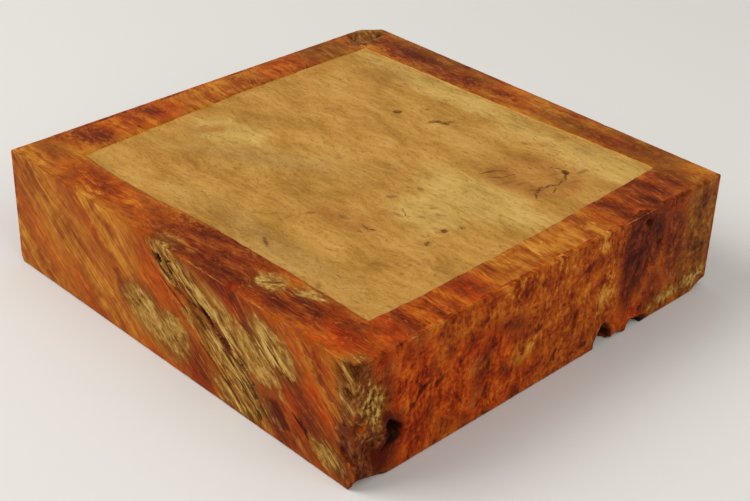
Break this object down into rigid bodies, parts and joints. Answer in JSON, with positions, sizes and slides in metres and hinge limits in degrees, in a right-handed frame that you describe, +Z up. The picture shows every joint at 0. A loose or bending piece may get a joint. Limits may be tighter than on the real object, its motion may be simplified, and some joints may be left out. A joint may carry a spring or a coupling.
{
  "type": "burl wood block",
  "caption": "Flat square block of maple burl wood with wax-dipped edges around bare windows, sawn as a blank for turning a bowl.",
  "frame": {"origin": "middle of the lower face, at the height of the surface that the block rests on", "axes": "+Z up through the block's thickness; the front face with the decayed streak looks along -Y and the end-grain face along +X"},
  "size_m": [0.2032, 0.2032, 0.0522],
  "materials": {
    "waxed_maple_burl": "wax-dipped amber burl around bare sawn wood"
  },
  "bodies": {
    "root": {"burl_block": "waxed_maple_burl"}
  },
  "joints": []
}
